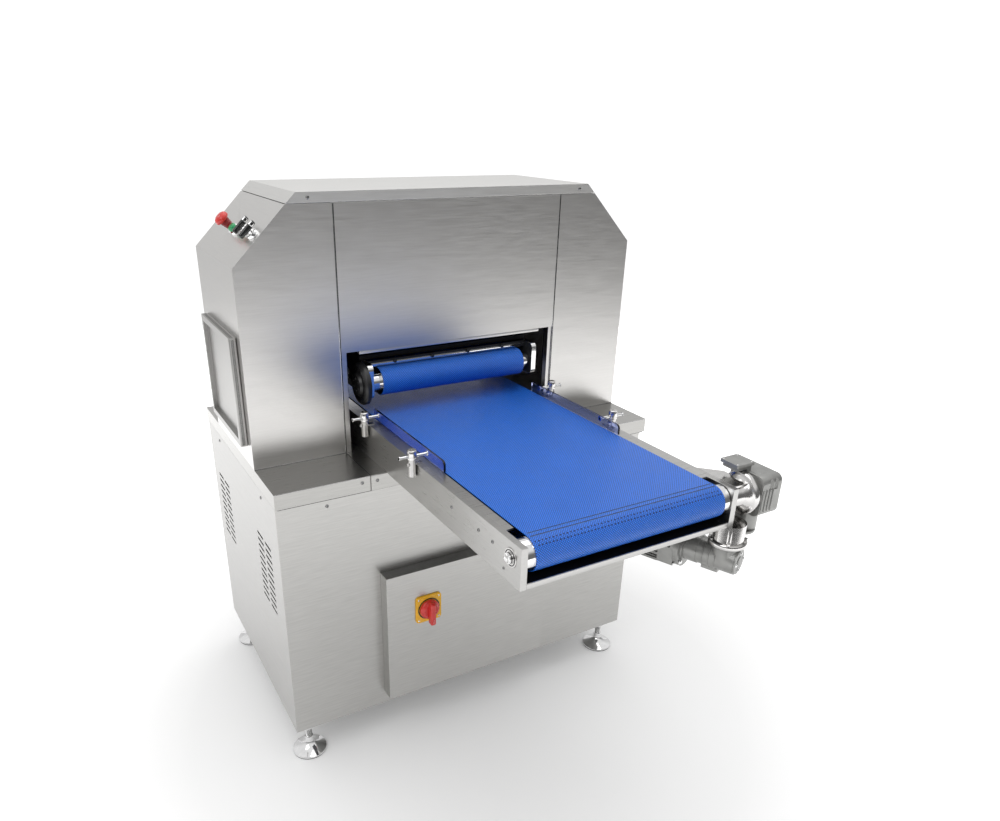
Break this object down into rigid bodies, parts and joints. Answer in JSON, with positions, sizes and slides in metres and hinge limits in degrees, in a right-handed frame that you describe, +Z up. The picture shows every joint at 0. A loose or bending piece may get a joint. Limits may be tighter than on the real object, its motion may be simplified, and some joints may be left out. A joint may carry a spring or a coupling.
{
  "type": "meat injector",
  "caption": "Through-feed meat injector: a flat belt with a hold-down belt carries meat under a needle head inside a shouldered hood on a levelled steel cabinet.",
  "frame": {"origin": "on the floor, under the middle of the overall width and length", "axes": "+Z up, the infeed end of the conveyor faces -Y, +X is the drive side (viewer's right)"},
  "size_m": [1.274, 1.487, 1.612],
  "materials": {
    "brushed_panel": "fine horizontal grain",
    "side_panel": "satin",
    "polished_steel": "polished",
    "frame_steel": "satin",
    "dark_frame": "matt",
    "belt_blue": "embossed",
    "clear_guide": "clear",
    "motor_grey": "cast, satin",
    "black_plastic": "matt",
    "red_plastic": "semi-gloss",
    "green_plastic": "semi-gloss",
    "yellow_plastic": "semi-gloss",
    "white_plastic": "satin",
    "cabinet_module": "matt",
    "pump_paint": "satin"
  },
  "bodies": {
    "machine": {"base_frame": "frame_steel", "base_front_panel": "brushed_panel", "base_left_cover": "side_panel", "base_right_cover": "side_panel", "base_rear_panel": "brushed_panel", "ledge_sides": "brushed_panel", "ledge_centre": "brushed_panel", "levelling_feet": "polished_steel", "fixed_hinges": "frame_steel", "hood_left_shell": "brushed_panel", "hood_right_shell": "brushed_panel", "hood_centre_panel": "brushed_panel", "hood_roof": "brushed_panel", "hood_rear_panel": "brushed_panel", "hood_frame": "dark_frame", "mouth_trim": "brushed_panel", "control_bodies": "black_plastic", "conveyor_side_plates": "polished_steel", "pulley_bearings": "polished_steel", "conveyor_belt": "belt_blue", "conveyor_bed": "brushed_panel", "splash_baffle": "black_plastic", "guide_posts": "polished_steel", "guide_columns": "polished_steel", "lift_cylinder": "frame_steel", "brine_tank": "frame_steel", "brine_pump": "pump_paint", "brine_pipe": "frame_steel", "electrical_plate": "cabinet_module", "drive_mounts": "polished_steel", "belt_gear_unit": "motor_grey", "terminal_box": "motor_grey", "lower_gear_unit": "motor_grey", "lower_motor": "motor_grey", "screw_heads": "frame_steel"},
    "head_pulley": {"head_pulley": "polished_steel"},
    "tail_pulley": {"tail_pulley": "polished_steel"},
    "hold_down": {"hold_down_carriage": "polished_steel", "hold_down_belt": "belt_blue", "upper_drive_hub": "black_plastic"},
    "upper_front_roller": {"upper_front_roller": "polished_steel"},
    "upper_rear_roller": {"upper_rear_roller": "polished_steel"},
    "needle_head": {"needle_bridge": "frame_steel", "needles": "polished_steel", "lift_rod": "polished_steel"},
    "stripper": {"stripper_plate": "white_plastic"},
    "e_stop_stem": {"e_stop_stem": "red_plastic"},
    "e_stop_head": {"e_stop_head": "red_plastic"},
    "start_button": {"start_button": "green_plastic"},
    "selector_1": {"selector_1": "black_plastic"},
    "selector_2": {"selector_2": "black_plastic"},
    "lower_door": {"lower_door": "brushed_panel", "switch_plate": "yellow_plastic"},
    "switch_knob": {"switch_knob": "red_plastic"},
    "left_hatch": {"left_hatch": "side_panel"},
    "right_hatch": {"right_hatch": "side_panel"},
    "left_guide": {"guide_left": "clear_guide", "guide_pins_left": "polished_steel"},
    "right_guide": {"guide_right": "clear_guide", "guide_pins_right": "polished_steel"}
  },
  "joints": [
    {"name": "head_pulley_spin", "type": "hinge", "parent": "machine", "child": "head_pulley", "pos_m": [0, -0.6775, 0.966], "axis": [1, 0, 0], "continuous": true},
    {"name": "tail_pulley_spin", "type": "hinge", "parent": "machine", "child": "tail_pulley", "pos_m": [0, 0.7035, 0.966], "axis": [1, 0, 0], "continuous": true},
    {"name": "hold_down_height", "type": "slide", "parent": "machine", "child": "hold_down", "axis": [0, 0, 1], "range_m": [-0.02, 0.03]},
    {"name": "upper_front_roller_spin", "type": "hinge", "parent": "hold_down", "child": "upper_front_roller", "pos_m": [0, 0.1475, 1.097], "axis": [1, 0, 0], "continuous": true},
    {"name": "upper_rear_roller_spin", "type": "hinge", "parent": "hold_down", "child": "upper_rear_roller", "pos_m": [0, 0.2695, 1.097], "axis": [1, 0, 0], "continuous": true},
    {"name": "needle_stroke", "type": "slide", "parent": "machine", "child": "needle_head", "axis": [0, 0, 1], "range_m": [-0.1, 0]},
    {"name": "stripper_float", "type": "slide", "parent": "machine", "child": "stripper", "axis": [0, 0, 1], "range_m": [0, 0.04]},
    {"name": "e_stop_push", "type": "slide", "parent": "machine", "child": "e_stop_stem", "axis": [0.7071, 0, -0.7071], "range_m": [0, 0.005]},
    {"name": "e_stop_twist", "type": "hinge", "parent": "e_stop_stem", "child": "e_stop_head", "pos_m": [-0.55124, 0.3485, 1.50676], "axis": [0.7071, 0, -0.7071], "range_deg": [0, 30]},
    {"name": "start_push", "type": "slide", "parent": "machine", "child": "start_button", "axis": [0.7071, 0, -0.7071], "range_m": [0, 0.0025], "stiffness_N_per_m": 800, "springref_m": -0.002},
    {"name": "selector_1_turn", "type": "hinge", "parent": "machine", "child": "selector_1", "pos_m": [-0.54417, 0.2305, 1.51383], "axis": [0.7071, 0, -0.7071], "range_deg": [-45, 45]},
    {"name": "selector_2_turn", "type": "hinge", "parent": "machine", "child": "selector_2", "pos_m": [-0.547, 0.1615, 1.511], "axis": [0.7071, 0, -0.7071], "range_deg": [-45, 45]},
    {"name": "lower_door_swing", "type": "hinge", "parent": "machine", "child": "lower_door", "pos_m": [0.231, -0.0535, 0.376], "axis": [0, 0, 1], "range_deg": [0, 105]},
    {"name": "main_switch_turn", "type": "hinge", "parent": "lower_door", "child": "switch_knob", "pos_m": [-0.2, -0.0945, 0.456], "axis": [0, -1, 0], "range_deg": [0, 90]},
    {"name": "left_hatch_swing", "type": "hinge", "parent": "machine", "child": "left_hatch", "pos_m": [-0.624, 0.4865, 1.113], "axis": [0, 0, -1], "range_deg": [0, 110]},
    {"name": "right_hatch_swing", "type": "hinge", "parent": "machine", "child": "right_hatch", "pos_m": [0.624, 0.4865, 1.113], "axis": [0, 0, 1], "range_deg": [0, 110]},
    {"name": "left_guide_slide", "type": "slide", "parent": "machine", "child": "left_guide", "axis": [1, 0, 0], "range_m": [0, 0.02]},
    {"name": "right_guide_slide", "type": "slide", "parent": "machine", "child": "right_guide", "axis": [-1, 0, 0], "range_m": [0, 0.02]}
  ],
  "couplings": [
    {"joint": "tail_pulley_spin", "follows": "head_pulley_spin", "ratio": 1},
    {"joint": "upper_rear_roller_spin", "follows": "upper_front_roller_spin", "ratio": 1}
  ]
}
